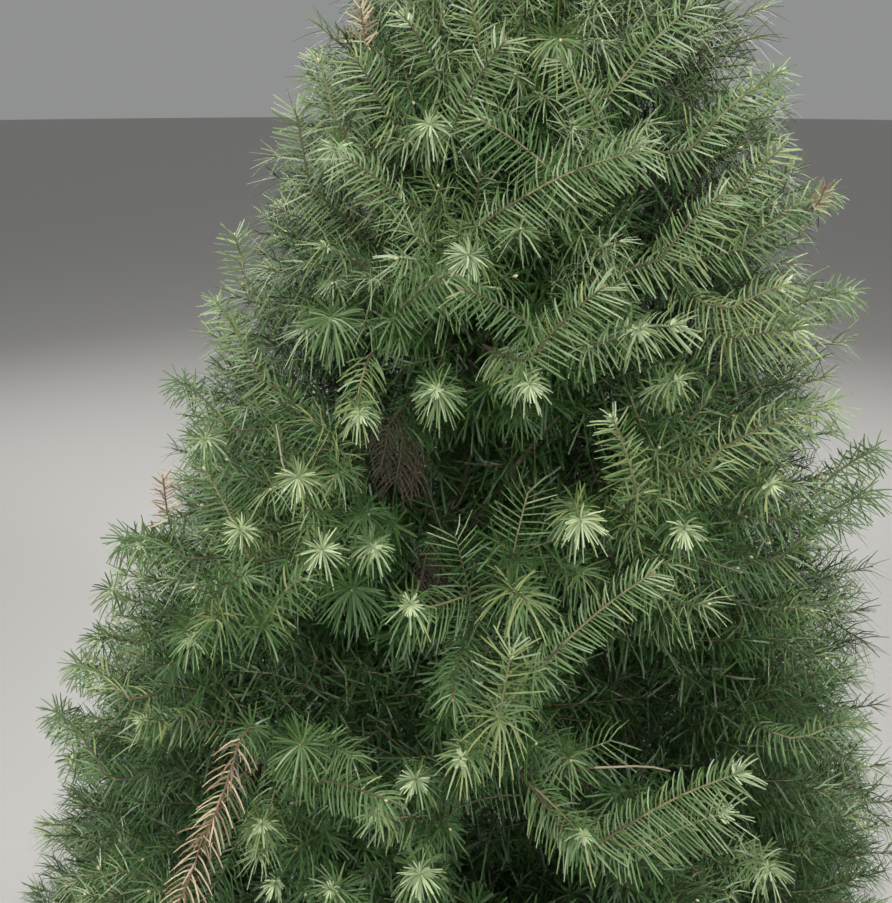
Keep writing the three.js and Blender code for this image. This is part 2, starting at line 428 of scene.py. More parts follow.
# %% Room kept clear in front of the named shoots
SPRAY_WAYS = {
    # insets of base and tip, pulls along and outward at the base, pixels kept clear
    "live": (0.05, 0.004, 0.5, 0.8, 20),
    "brush": (0.03, 0.0, 0.5, 1, 38),
    "dead": (0.0, -0.02, 0.2, 1, 30),
    "shaded": (0.02, 0.0, 1, 0, 0),
    "bare": (0.0, 0.0, 1, 0, 10),
}
GROWING_KINDS = ("live", "brush")
STAR_INSET = 0.012
STAR_REACH = 0.045
STAR_ROOM = 26
CLEAR_DEPTH = 0.30
CLEAR_BEHIND = 0.012
NEAR_SIDE = 0.05
BARE_SHARE = 0.45
named = []
kept_clear = []


def keep_clear(points, radius):
    """Remember that nothing may grow in front of these points."""
    for point in points:
        kept_clear.append((*project(point), radius))


for px, py, growth in STARS:
    tip = crown_spot(px, py, STAR_INSET)
    to_viewer = (CAMERA_PLACE - tip).normalized()
    arrive = (0.9 * to_viewer + 0.25 * outward(tip) + wander(0.16)).normalized()
    base = tip - arrive * STAR_REACH
    named.append((base, tip, arrive, growth / 1000, "star" if growth else "large"))
    keep_clear([tip, tip - arrive * 0.03], STAR_ROOM)
for kind, rows in SPRAYS.items():
    base_inset, tip_inset, ahead, out, room = SPRAY_WAYS[kind]
    for bx, by, tx, ty, measure in rows:
        growth, depth = (measure, 0) if kind in GROWING_KINDS else (0, measure)
        base = crown_spot(bx, by, base_inset + depth / 1000)
        tip = crown_spot(tx, ty, tip_inset + depth / 1000)
        arrive = (tip - base).normalized()
        if out:
            arrive = (ahead * arrive + out * outward(base)).normalized()
        named.append((base, tip, arrive, growth / 1000, kind))
        if room:
            keep_clear([base.lerp(tip, i / 5) for i in range(6)], room)
for bx, by, tx, ty, depth in TRUNK_TWIGS:
    base = place_around(crown_spot(bx, by, 1.0).z, 0, 0)
    tip = crown_spot(tx, ty, depth / 1000)
    named.append((base, tip, (tip - base).normalized(), 0, "trunk"))
clear_rows = np.array(kept_clear)


def hides(points):
    """Whether a run would hide a named shoot or fill a dark place."""
    for point in points[1:]:
        if point.y > NEAR_SIDE:
            continue
        px, py, distance = project(point)
        gap = np.hypot(clear_rows[:, 0] - px, clear_rows[:, 1] - py)
        behind = clear_rows[:, 2] - distance
        if np.any((gap < clear_rows[:, 3]) & (behind > -CLEAR_BEHIND) & (behind < CLEAR_DEPTH)):
            return "named"
        for across, down, wide, tall, deep in DARK_PLACES:
            if ((px - across) / wide) ** 2 + ((py - down) / tall) ** 2 < 1:
                depth = depth_in_crown(point)
                if depth < deep:
                    return "bare" if depth > BARE_SHARE * deep else "dark"
    return ""


print(len(named), "named shoots")

# %% Growing side runs
LEAST_PARENT = 0.055
LEAST_RUN = 0.035
FIRST_NODE = 0.4
NODE_SPACING = 0.45
SIDE_GROWTH = 0.72
SIDE_START = 0.04
SIDE_ANGLES = (42, 60)
BARE_CHANCE = 0.4
BOUGH_STEP = 0.02
CLEFT_DEPTH = 0.1
SIDE_ROLLS = [
    [0.15, math.pi - 0.15, 1.35, -1.2, 2.2],
    [0.25, math.pi - 0.25, 1.6, -1.5],
    [0.0, math.pi, 1.5],
]


def in_room(point):
    """Whether a shoot's tip still leaves room for its needles round the tree."""
    low, high = cad_box
    return all(a - 0.002 < x < b + 0.002 for a, x, b in zip(low, point, high))


def room_round(mass, point):
    """Whether a point is in a mass, or deep in a cleft beside it, and clear of the ground."""
    margin = CLEFT_MARGIN if depth_in_crown(point) < CLEFT_DEPTH else DEEP_MARGIN
    return point.z > LOWEST and mass.inside(point, margin)


def path_from(base, heading, length, mass, pull=LIGHT_PULL):
    """Points of a run that grows towards the light until it leaves its mass."""
    margin = LONG_MARGIN if chance.random() < LONG_SHARE else MARGIN
    points = [base]
    heading = heading.normalized()
    while length > 0:
        step = min(STEP, max(length, 0.012))
        light = outward(points[-1]) + 0.45 * UP
        heading = (heading + pull * light + wander(0.035)).normalized()
        following = points[-1] + heading * step
        if depth_in_crown(following) < 0.02:
            grows = mass.inside(following, margin) and in_room(following)
        else:
            grows = room_round(mass, following)
        if len(points) > 1 and not grows:
            break
        points.append(following)
        length -= step
    return points


def side_heading(heading, roll, angle):
    """Direction that leaves a heading at an angle, on a roll round it from level."""
    side = heading.cross(UP)
    side = side.normalized() if side.length > 0.05 else Vector((1, 0, 0))
    above = side.cross(heading).normalized()
    across = side * math.cos(roll) + above * math.sin(roll)
    return heading * math.cos(angle) + across * math.sin(angle)


def branch_out(run, mass):
    """Grow the side runs of a run, and theirs in turn."""
    order = run.order
    if order > 2 or run.length < LEAST_PARENT:
        return
    node = FIRST_NODE * YEAR * chance.uniform(0.8, 1.2)
    count = 0
    while node < run.length - 0.01:
        full = count % 2 == 1
        rolls = SIDE_ROLLS[order] if full else SIDE_ROLLS[order][:2]
        for roll in rolls:
            base, heading = run.at(node)
            length = (SIDE_GROWTH * node + SIDE_START) * chance.uniform(0.75, 1.1)
            if not full:
                length *= 0.85
            angle = math.radians(chance.uniform(*SIDE_ANGLES))
            start = side_heading(heading, roll + chance.gauss(0, 0.3), angle)
            points = path_from(base, start, length, mass)
            side = Run(points, order + 1, mass)
            if side.length < LEAST_RUN or crowded(points[-1]):
                continue
            hidden = hides(points)
            if hidden == "bare" and chance.random() < BARE_CHANCE:
                side.kind = "bare"
                keep(side)
            if not hidden:
                keep(side)
                branch_out(side, mass)
        node += NODE_SPACING * YEAR * chance.uniform(0.85, 1.15)
        count += 1


for number, tier in enumerate(TIERS, 1):
    for index in range(tier["boughs"]):
        turn = math.radians(tier["turn"] + index * 360 / tier["boughs"])
        mass = masses[f"foliage_{number}_{index + 1}"]
        points = []
        reach = 0.0
        entered = False
        while reach < 1.0:
            point = place_around(bough_height(tier, reach), turn, reach)
            inside = mass.inside(point)
            if entered and not inside:
                break
            entered = entered or inside
            points.append(point + wander(0.0015) * (reach > 0.05))
            reach += BOUGH_STEP
        bough = Run(points, 0, mass, "bough")
        bough.tier = number
        keep(bough)
        branch_out(bough, mass)
print(len(runs), "runs,", round(sum(r.length for r in runs), 1), "m of twig")

# %% [markdown]
# The trunk itself runs on as the leader in the crown's top. Its shoots are young
# and steep: a whorl at the top's foot and smaller ones above it.

# %% Leader
WHORLS = [
    # height, shoots, length and lean from upright in degrees
    (1.600, 6, 0.26, 62), (1.655, 6, 0.30, 50), (1.720, 5, 0.24, 48), (1.780, 5, 0.20, 44),
    (1.840, 5, 0.15, 40), (1.895, 4, 0.11, 38), (1.945, 4, 0.08, 34),
]
LEADER_FOOT = 1.62
LEADER_STEP = 0.041
top_mass = masses["foliage_top"]
leader_line = [place_around(LEADER_FOOT + LEADER_STEP * i, 0, 0) for i in range(11)]
keep(Run(leader_line, 0, top_mass, "leader"))
for height, number, length, lean in WHORLS:
    for i in range(number):
        turn = (i + chance.uniform(-0.2, 0.2)) * 2 * math.pi / number + height * 40
        away = Vector((math.cos(turn), math.sin(turn), 0))
        start = away * math.sin(math.radians(lean)) + UP * math.cos(math.radians(lean))
        base = place_around(height, turn, 0.006)
        points = path_from(base, start, length * chance.uniform(0.85, 1.1), top_mass, 0.04)
        shoot = Run(points, 1, top_mass)
        if shoot.length > 0.03 and not crowded(points[-1]):
            keep(shoot)
            branch_out(shoot, top_mass)
print(sum(r.mass is top_mass for r in runs), "runs in the top")

# %% [markdown]
# The named shoots are now joined to the tree, each from the best twig behind it.
# Where a mass still has bare spots, a run is grown to fill each one in the same
# way. First come spots dealt out over the CAD faces by area, then spots all
# through the mass, at the same spacing as the tips of the side runs.

# %% Joining and filling
SURFACE_TRIES = 1500
INNER_TRIES = 2600
JOIN_REACHES = (0.12, 0.18, 0.3)
JOIN_NEAREST = 120
FILL_REACH = 0.2
FILL_NEAREST = 24
SAG = 0.06
DEAD_SAG = -0.08
NEEDLED_BEHIND = 0.09
VIGOURS = {"large": 1.35, "shaded": 1.35, "brush": 1.4}
COMBINGS = {"brush": 0.15}
# tones of named shoots: painted light and shade for how lit each kind stands, and lighter where a
# shoot has new growth
LIT_TONES = {"live": 2.25, "star": 2.3, "large": 1.7, "brush": 3.2}
GROWING_TONE = 0.5

# Every point of the twigs that a new run may start from, with its heading
found = []
for run in runs:
    for a, b in zip(run.points[1:-1], run.points[2:]):
        found.append((a, (b - a).normalized(), run))
tree = KDTree(len(found))
for i, (point, _, _) in enumerate(found):
    tree.insert(point, i)
tree.balance()


def best_start(spot, arrive, least, most, near):
    """The twig point from which a run can best reach a spot, or None."""
    best = None
    for _, i, _ in tree.find_n(spot - arrive * (least + most) / 2, near):
        base, heading, parent = found[i]
        gap = spot - base
        if not least < gap.length < most:
            continue
        way = gap.normalized()
        score = way.dot(arrive) + 0.4 * way.dot(heading) - 0.3 * abs(gap.length / most - 0.6)
        if way.dot(arrive) > 0.3 and (best is None or score > best[0]):
            best = (score, base, (way + 0.5 * heading).normalized(), parent)
    return best


lost = 0
for base, tip, arrive, growth, kind in named:
    if kind == "trunk":
        parent = found[tree.find(tip)[1]][2]
        start = (0.4 * arrive + outward(tip)).normalized()
        shoot = Run(curve_to(base, start, tip, arrive), 1, parent.mass, "bare")
        shoot.named = True
        keep(shoot)
        continue
    start = None
    for most in JOIN_REACHES:
        start = start or best_start(base, arrive, 0.03, most, JOIN_NEAREST)
    if start is None:
        lost += 1
        continue
    _, place, heading, parent = start
    points = curve_to(place, heading, base, arrive)
    reach = (tip - base).length
    sag = (DEAD_SAG if kind == "dead" else SAG) * reach
    for i in range(1, 6):
        points.append(base.lerp(tip, i / 5) + UP * sag * math.sin(i / 5 * math.pi))
    shoot = Run(points, 2, parent.mass, kind if kind in ("dead", "bare") else "live", growth)
    shoot.named = kind != "shaded"
    shoot.shaded = kind == "shaded"
    shoot.vigour = VIGOURS.get(kind, shoot.vigour)
    shoot.combing = COMBINGS.get(kind, COMBING)
    shoot.needled = reach + NEEDLED_BEHIND
    shoot.dead_from = reach
    shoot.dryness = 0 if shoot.shaded else chance.choice([LITTLE_DRY] * 3 + [SOME_DRY])
    shoot.tone = LIT_TONES.get(kind, 0)
    if kind == "live" and growth:
        shoot.tone += GROWING_TONE
    keep(shoot)
print(len(named) - lost, "named shoots joined,", lost, "without a twig behind them")


def surface_spots(mass):
    """Seeded points on a mass's skin, with their outward normals."""
    sizes = [face[0] for face in mass.faces]
    for _, normal, corners in chance.choices(mass.faces, sizes, k=SURFACE_TRIES):
        a, b = sorted((chance.random(), chance.random()))
        spot = corners[0] * a + corners[1] * (b - a) + corners[2] * (1 - b)
        yield spot - normal * 0.008, normal


def inner_spots(mass):
    """Seeded points all through a mass, with a level outward direction."""
    corners = [corner for face in mass.faces for corner in face[2]]
    low = [min(c[i] for c in corners) for i in range(3)]
    high = [max(c[i] for c in corners) for i in range(3)]
    for _ in range(INNER_TRIES):
        spot = Vector([chance.uniform(a, b) for a, b in zip(low, high)])
        if room_round(mass, spot) and depth_in_crown(spot) > 0.01:
            yield spot, outward(spot)


filled = []
for spots in (surface_spots, inner_spots):
    before = len(runs)
    for mass in masses.values():
        for spot, normal in spots(mass):
            if depth_in_crown(spot) > FILL_DEPTH or crowded(spot):
                continue
            arrive = (0.6 * outward(spot) + 0.5 * normal + 0.3 * UP + wander(0.2)).normalized()
            start = best_start(spot, arrive, 0.05, FILL_REACH, FILL_NEAREST)
            if start is None:
                continue
            _, place, heading, parent = start
            points = curve_to(place, heading, spot, arrive)
            if not hides(points):
                keep(Run(points, 2, parent.mass))
    filled.append(len(runs) - before)
print(filled, "filling runs;", len(runs), "runs in all,",
      round(sum(r.length for r in runs), 1), "m of twig")

# %% [markdown]
# A needle is a flat, slender blade of nearly one width, with a blunt tip. It is
# modelled three times, as a strip of squares from a grid: curved for the shoots
# named above, bent once for the rest of the outer shoots, and straight for the
# shaded ones behind them. Arrays then hold all the copies at once, because a
# modifier or an instance would not survive the export.

# %% One needle
def arrays_of(shape):
    """Corners and triangles of a small shape, which is then freed."""
    shape.verts.index_update()
    corners = np.array([tuple(v.co) for v in shape.verts])
    triangles = np.array([[v.index for v in f.verts] for f in shape.faces])
    shape.free()
    return corners, triangles


def needle_pattern(stops):
    """Length and side positions of a blade's corners, and its triangles."""
    strip = bmesh.new()
    bmesh.ops.create_grid(strip, x_segments=len(stops) - 1, y_segments=1, size=1)
    rows = sorted(strip.verts, key=lambda v: round(v.co.x, 4))
    for i, vert in enumerate(rows):
        along_blade, wide = stops[i // 2]
        vert.co = Vector((along_blade, math.copysign(wide / 2, vert.co.y), 0))
    bmesh.ops.triangulate(strip, faces=strip.faces)
    return arrays_of(strip)


PLAIN, BENT, CURVED = range(3)
BLADES = [
    needle_pattern([(0.0, 0.9), (1.0, 0.7)]),
    needle_pattern([(0.0, 0.8), (0.5, 1.0), (1.0, 0.5)]),
    needle_pattern([(0.0, 0.7), (0.35, 1.0), (0.75, 0.95), (1.0, 0.55)]),
]
print("blades of", [len(triangles) for _, triangles in BLADES], "triangles")

# %% [markdown]
# Needles stand all round a twig but are combed to its left and right, and lean
# forward, most of all near the tip, where they make a brush. The upper ones stand
# up and the lower ones hang. Each lies with its flat side to the light. Their
# number for each metre of twig falls with its depth in the shade. New growth is
# a tuft of short, thick needles at the tip. A tint's number is its place in the
# list of colours below, and from deep to light green they rise with the light.

# %% Laying out needles
NEEDLE_LENGTH = 0.029
NEEDLE_WIDTH = 0.0017
NEEDLES_PER_METRE = 600
OUTER_DEPTH = 0.08
GOLDEN_TURN = 2.39996
NEEDLE_LEAN = np.radians(73)
TIP_LEAN = np.radians(42)
TUFT_LEANS = np.radians(20), np.radians(66)
TUFT_DEPTH = 0.010
YOUNG_TIP = 0.014
LONG_DEAD = 0.06
DEEP, DARK, MID, FRESH_AND_LIT, LIGHT, NEW, TAN, BROWN, DEAD_SHADE, OLIVE = range(10)
dealer = np.random.default_rng(7)


def unit(rows):
    """Each row scaled to length one."""
    return rows / np.maximum(np.linalg.norm(rows, axis=1, keepdims=True), 1e-9)


def needle_rows(axis, base, roll, lean, length, width, droop, light, tint, blade):
    """One row for each needle: base, heading, side, bend, length, width, tint, blade."""
    count = len(base)
    level = unit(np.cross(axis, light))
    above = np.cross(level, axis)
    across = level * np.cos(roll)[:, None] + above * np.sin(roll)[:, None]
    heading = axis * np.cos(lean)[:, None] + across * np.sin(lean)[:, None]
    side = unit(np.cross(heading, light + dealer.normal(0, 0.3, (count, 3))))
    bend = (axis * 0.30 + dealer.normal(0, 0.06, (count, 3))) * length[:, None]
    bend[:, 2] -= length * droop
    return np.column_stack([
        base, heading, side, bend, length, width, tint, np.full(count, float(blade)),
    ])


def along_run(run, from_tip):
    """Places and headings on a run at distances back from its tip."""
    points = np.array([tuple(p) for p in run.points])
    steps = np.linalg.norm(np.diff(points, axis=0), axis=1)
    marks = np.concatenate([[0], np.cumsum(steps)])
    total = marks[-1]

    def place(where):
        return np.stack([np.interp(where, marks, points[:, i]) for i in range(3)], 1)

    where = total - from_tip
    ahead = place(np.clip(where + 0.008, 0, total))
    behind = place(np.clip(where - 0.008, 0, total))
    return place(where), unit(ahead - behind)


def light_on(run):
    """The way that a run's comb of needles and their flat sides face."""
    if run.named or run.shaded:
        to_viewer = (CAMERA_PLACE - run.points[-1]).normalized()
        return np.array((0.75 * to_viewer + 0.5 * UP).normalized())
    return np.array((0.5 * outward(run.points[-1]) + 0.8 * UP).normalized())


def needles_on(run, share, tint, blade):
    """Rows of the ordinary needles of one run."""
    span = min(run.length, run.needled)
    count = int(span * NEEDLES_PER_METRE * share)
    if count < 4:
        return None
    jitter = 0.5 if run.named or run.shaded else 1.0
    spread = (np.arange(count) + 0.5 + dealer.uniform(-0.3, 0.3, count) * jitter) / count
    from_tip = span * spread ** 1.08
    base, axis = along_run(run, from_tip)
    light = light_on(run)
    facing = np.abs(axis @ light)
    turn = math.pi if run.shaded else GOLDEN_TURN
    roll = np.arange(count) * turn + dealer.normal(0, 0.12, count)
    roll = roll - run.combing * (1 - facing ** 4) * np.sin(2 * roll)
    lean = NEEDLE_LEAN - TIP_LEAN * np.exp(-from_tip / YOUNG_TIP)
    lean = lean + dealer.normal(0, 0.09 * jitter, count)
    length = NEEDLE_LENGTH * run.vigour * dealer.normal(1, 0.08 * jitter, count)
    length *= 1 - 0.3 * np.exp(-from_tip / 0.006)
    droop = 0.33 - 0.24 * np.sin(roll) + dealer.uniform(-0.07, 0.1, count)
    width = NEEDLE_WIDTH * dealer.uniform(0.85, 1.15, count)
    if run.kind == "dead":
        length *= 0.88 if run.dead_from > LONG_DEAD else 0.6
    if run.named:
        width *= 1.12
    if tint == DEAD_SHADE:
        width *= 0.7
    if blade == PLAIN:
        width *= 1.6
    tints = np.full(count, float(tint))
    if tint == TAN:
        tints[dealer.random(count) < 0.4] = BROWN
    if run.kind == "dead":
        # the live needles behind a dead section: mid green near the outline, dark green deep
        # inside as painted shade
        tints[from_tip > run.dead_from] = MID if tint == TAN else DARK
    else:
        shift = dealer.integers(-1, 2, count) * (dealer.random(count) < 0.3)
        young = (from_tip < YOUNG_TIP) * (tint > DARK)
        tints = np.clip(tints + shift + young, DEEP, LIGHT)
        tints[from_tip < 0.7 * run.growth] = LIGHT
        if tint > DARK:
            tints[dealer.random(count) < run.dryness] = OLIVE
            if not run.named:
                dry = dealer.random(count) < 0.4 * run.dryness
                tints[dry & (from_tip > 0.06)] = BROWN
    return needle_rows(axis, base, roll, lean, length, width, droop, light, tints, blade)


def tuft_on(run):
    """Rows of the short, thick new needles at a run's tip."""
    count = 22 + int(500 * run.growth)
    from_tip = dealer.uniform(0.0, TUFT_DEPTH, count)
    base, axis = along_run(run, from_tip)
    roll = np.arange(count) * GOLDEN_TURN + dealer.normal(0, 0.15, count)
    lean = TUFT_LEANS[0] + TUFT_LEANS[1] * np.sqrt(from_tip / TUFT_DEPTH)
    length = run.growth * dealer.uniform(0.8, 1.1, count)
    width = NEEDLE_WIDTH * dealer.uniform(1.05, 1.25, count)
    droop = np.full(count, 0.08)
    tints = np.where(dealer.random(count) < 0.7, float(NEW), float(LIGHT))
    return needle_rows(axis, base, roll, lean, length, width, droop, light_on(run), tints, BENT)


def blades(pattern, rows):
    """Corner positions and triangles of many copies of one blade."""
    corners, triangles = pattern
    t = corners[None, :, 0, None]
    s = corners[None, :, 1, None]
    places = (
        rows[:, None, 0:3]
        + rows[:, None, 3:6] * (t * rows[:, 12, None, None])
        + rows[:, None, 9:12] * t ** 2
        + rows[:, None, 6:9] * (s * rows[:, 13, None, None])
    )
    firsts = np.arange(len(rows))[:, None, None] * len(corners)
    return places.reshape(-1, 3), (triangles[None] + firsts).reshape(-1, 3)


def mesh_from(name, parts, materials):
    """A joined mesh from parts of (corners, triangles, material numbers)."""
    places = np.concatenate([part[0] for part in parts])
    firsts = np.cumsum([0] + [len(part[0]) for part in parts[:-1]])
    triangles = np.concatenate([part[1] + first for part, first in zip(parts, firsts)])
    tints = np.concatenate([part[2] for part in parts])
    mesh = bpy.data.meshes.new(name)
    mesh.vertices.add(len(places))
    mesh.vertices.foreach_set("co", places.astype(np.float32).ravel())
    mesh.loops.add(len(triangles) * 3)
    mesh.loops.foreach_set("vertex_index", triangles.astype(np.int32).ravel())
    mesh.polygons.add(len(triangles))
    mesh.polygons.foreach_set("loop_start", np.arange(0, len(triangles) * 3, 3, dtype=np.int32))
    mesh.polygons.foreach_set("material_index", tints.astype(np.int32))
    for material in materials:
        mesh.materials.append(material)
    mesh.update(calc_edges=True)
    mesh.validate()
    return add_object(name, mesh)


# %% [markdown]
# Needle colours are plain base colours, one material for each tint, dealt out by spray. Deep and
# dark green inside the crown are painted shade, and mid and light green outside and near the top
# are partly painted light, with a young yellow-green on the newest tips. Dead sprays are tan and
# brown outside and a painted-shade dark brown deep inside, and a few needles of a dry shoot are
# olive or brown.

# %% Plain colours
def linear(colour):
    """A colour as the eye sees it, from 0 to 255, as light from 0 to 1."""
    return tuple(((c / 255 + 0.055) / 1.055) ** 2.4 for c in colour) + (1.0,)


def new_material(name, roughness):
    """A material of a set roughness, and its shader."""
    material = bpy.data.materials.new(name)
    material.use_nodes = True
    shader = material.node_tree.nodes["Principled BSDF"]
    shader.inputs["Roughness"].default_value = roughness
    return material, shader


def plain_finish(name, colour, roughness):
    """A material of one base colour."""
    material, shader = new_material(name, roughness)
    shader.inputs["Base Color"].default_value = linear(colour)
    shader.inputs["Specular IOR Level"].default_value = 0.5
    material.diffuse_color = linear(colour)
    return material


NEEDLE_COLOURS = [
    # name, colour and roughness, in the order of the tints' numbers
    # deep and dark green are painted shade inside the crown; fresh and light green are partly
    # painted light on the outer sprays and near the top
    ("deep_green", (40, 69, 24), 0.5),
    ("dark_green", (54, 86, 37), 0.42),
    ("mid_green", (76, 105, 53), 0.38),
    ("fresh_and_lit_green", (102, 127, 77), 0.36),
    ("light_green", (140, 158, 117), 0.38),
    ("new_growth", (192, 206, 160), 0.42),
    ("dead_tan", (184, 166, 138), 0.8),
    ("dead_brown", (132, 110, 86), 0.8),
    ("dead_shaded", (56, 46, 31), 0.8),
    ("olive", (134, 146, 88), 0.5),
]
TINTS = [plain_finish("needle_" + name, colour, rough) for name, colour, rough in NEEDLE_COLOURS]
print(len(TINTS), "needle tints")

# %% Needles of each mass
PIECE_LIMIT = 190000
GROWING_SHARE = 0.14
NEAR_GROWING = 0.06
GROWTHS = (0.008, 0.010, 0.014, 0.02)
LEADER_SHARE = 2.4
SHADED_SHARE = 0.45
DEAD_SHARE = 0.62
LEAST_SHARE = 0.34
SHADE_DEPTH = 0.22
PAINTED_SHADE_STEP = 0.036


def tint_of(run, depth):
    """The spray's tint: painted shade deep in the crown, and painted light outside and near the
    top.
    """
    # Each step of depth makes the tint one darker as painted shade, and height above a metre
    # makes it lighter as painted light; shaded combs keep mid green, and dead sprays deep inside
    # take the painted-shade dark brown.
    if run.kind == "dead":
        return TAN if depth < OUTER_DEPTH else DEAD_SHADE
    above = run.points[-1].z - 1
    scale = 2.9 + (2.0 if above > 0 else 0.3) * above - max(0, depth) / PAINTED_SHADE_STEP
    scale += chance.gauss(0, 0.6)
    if run.shaded:
        return MID
    # Named shoots take the tone of their kind, painted light or shade for how lit they stand,
    # with painted light above a metre.
    if run.named:
        scale = run.tone + (1.2 * above if above > 0 else 0) + chance.gauss(0, 0.2)
    return min(LIGHT, max(DEEP, round(scale)))


def mass_rows(name):
    """Rows of all the needles of one mass."""
    rows = []
    for run in runs:
        if run.mass.name != name or run.kind == "bare":
            continue
        tip = run.points[-1]
        depth = depth_in_crown(tip)
        outer = depth < OUTER_DEPTH
        faces_viewer = tip.y < -0.1
        if outer and not run.named and run.kind == "live":
            if chance.random() < GROWING_SHARE * (NEAR_GROWING if faces_viewer else 1.0):
                run.growth = chance.choice(GROWTHS)
        share = 1.0 if outer else max(LEAST_SHARE, 1.0 - depth / SHADE_DEPTH)
        if run.kind == "leader":
            share = LEADER_SHARE
        blade = BENT if outer or run.shaded else PLAIN
        if run.named:
            blade = CURVED
        if run.shaded:
            share = SHADED_SHARE
        if run.kind == "dead":
            share = DEAD_SHARE if outer and run.dead_from > LONG_DEAD else 1.0
        made = needles_on(run, share, tint_of(run, depth), blade)
        if made is not None:
            rows.append(made)
        if run.growth > 0:
            rows.append(tuft_on(run))
    return np.concatenate(rows)


def triangle_count(rows):
    """How many triangles the needles of these rows have."""
    return sum(int((rows[:, 15] == i).sum()) * len(BLADES[i][1]) for i in range(len(BLADES)))


needle_pieces = []


def flush(batch):
    """Join the waiting masses' needles into one piece that replaces their nodes."""
    names = list(batch)
    rows = np.concatenate([batch[name] for name in names])
    parts = []
    for i, pattern in enumerate(BLADES):
        chosen = rows[rows[:, 15] == i]
        places, triangles = blades(pattern, chosen)
        parts.append((places, triangles, np.repeat(chosen[:, 14], len(pattern[1]))))
    piece = mesh_from(f"needles_{len(needle_pieces) + 1}", parts, TINTS)
    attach(piece, "root")
    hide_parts(*names)
    needle_pieces.append(piece)
    print(piece.name, len(rows), "needles,", triangle_count(rows), "triangles")


batch = {}
for name in masses:
    rows = mass_rows(name)
    if batch and sum(map(triangle_count, batch.values())) + triangle_count(rows) > PIECE_LIMIT:
        flush(batch)
        batch = {}
    batch[name] = rows
flush(batch)
print("needle triangles:", sum(len(p.data.polygons) for p in needle_pieces))

# %% [markdown]
# Twigs are thin tubes along the runs. Most are three-sided, because thousands of them are only a
# few pixels wide, and the named ones have six sides. Their last year's growth is green-brown and
# the wood behind it brown. Bare twigs are pale and dead ones reddish near the outline, and deep
# in the crown both are dark old wood as painted shade. A bud sits on each outer tip without new
# growth.

# %% Twigs
TWIG_TINTS = [
    plain_finish("twig_old", (68, 60, 44), 0.85),
    plain_finish("twig_brown", (88, 80, 58), 0.8),
    plain_finish("twig_young", (124, 118, 82), 0.7),
    plain_finish("twig_bare", (150, 138, 114), 0.85),
    plain_finish("twig_dead", (118, 90, 68), 0.85),
]
OLD_WOOD, BROWN_WOOD, YOUNG_WOOD, BARE_WOOD, DEAD_WOOD = range(5)
TWIG_SIDES = 3
NAMED_SIDES = 6
TIP_RADIUS = 0.0010
TAPER = 0.0038
TRUNK_TWIG_TAPER = 0.014


def twig_tube(run):
    """Corners, triangles and tints of one run's tapering tube."""
    count = 2 + int(run.length / (0.025 if run.named else 0.055))
    from_tip = np.linspace(run.length, 0, count)
    line, axis = along_run(run, from_tip)
    radius = TIP_RADIUS + (TRUNK_TWIG_TAPER if run.order == 1 and run.named else TAPER) * from_tip
    sides = NAMED_SIDES if run.named else TWIG_SIDES
    level = unit(np.cross(axis, [0.013, 0.007, 1.0]))
    above = np.cross(level, axis)
    angle = np.arange(sides) * 2 * math.pi / sides
    ring = level[:, None] * np.cos(angle)[:, None] + above[:, None] * np.sin(angle)[:, None]
    places = line[:, None] + ring * radius[:, None, None]
    row = np.arange(count - 1)[:, None] * sides
    here = row + np.arange(sides)[None]
    beside = row + (np.arange(sides)[None] + 1) % sides
    lower = np.stack([here, beside + sides, beside], -1)
    upper = np.stack([here, here + sides, beside + sides], -1)
    triangles = np.concatenate([lower, upper], 1).reshape(-1, 3)
    age = np.repeat(from_tip[1:], 2 * sides)
    youngest = chance.choice((BROWN_WOOD, YOUNG_WOOD))
    tints = np.where(age < 0.10, youngest, np.where(age < 0.24, BROWN_WOOD, OLD_WOOD))
    # Dead and bare twigs deep in the crown are old wood all along, as painted shade, and
    # order-one ones take the lighter brown wood as painted light.
    if run.kind in ("dead", "bare"):
        seen = BARE_WOOD if run.kind == "bare" else DEAD_WOOD
        outer = depth_in_crown(run.points[-1]) < 0.1
        brown = run.order == 1 or (outer and run.kind == "dead")
        behind = BROWN_WOOD if brown else OLD_WOOD
        tints = np.where(age < run.dead_from + 0.02, seen if outer else behind, behind)
    return places.reshape(-1, 3), triangles, tints


twigs = mesh_from("twigs", [twig_tube(run) for run in runs if run.order > 0], TWIG_TINTS)
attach(twigs, "root")
print("twigs:", len(twigs.data.polygons), "triangles")

# %% Buds
BUD_TINTS = [
    plain_finish("bud_brown", (138, 122, 94), 0.6),
    plain_finish("bud_pale", (200, 186, 152), 0.6),
]
BUD_DEPTH = 0.07
BUD_STRETCH = 1.9
bud = bmesh.new()
bmesh.ops.create_icosphere(bud, subdivisions=1, radius=1)
bud_corners, bud_triangles = arrays_of(bud)
parts = []
for run in runs:
    if run.kind != "live" or run.growth > 0 or depth_in_crown(run.points[-1]) > BUD_DEPTH:
        continue
    tip, heading = run.at(0)
    turned = np.array(heading.to_track_quat("X", "Z").to_matrix())
    size = chance.uniform(0.0013, 0.0020)
    shaped = bud_corners * [size * BUD_STRETCH, size, size]
    places = shaped @ turned.T + np.array(tip + heading * size)
    tint = 1 if chance.random() < 0.3 else 0
    parts.append((places, bud_triangles, np.full(len(bud_triangles), tint)))
buds = mesh_from("buds", parts, BUD_TINTS)
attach(buds, "root")
print(len(parts), "buds,", len(buds.data.polygons), "triangles")

# %% [markdown]
# Bark needs a pattern. A term wraps one output of a node, and adding or
# multiplying terms adds the Math nodes. The patterns use the object's own
# coordinates, so they stay put on the bark.

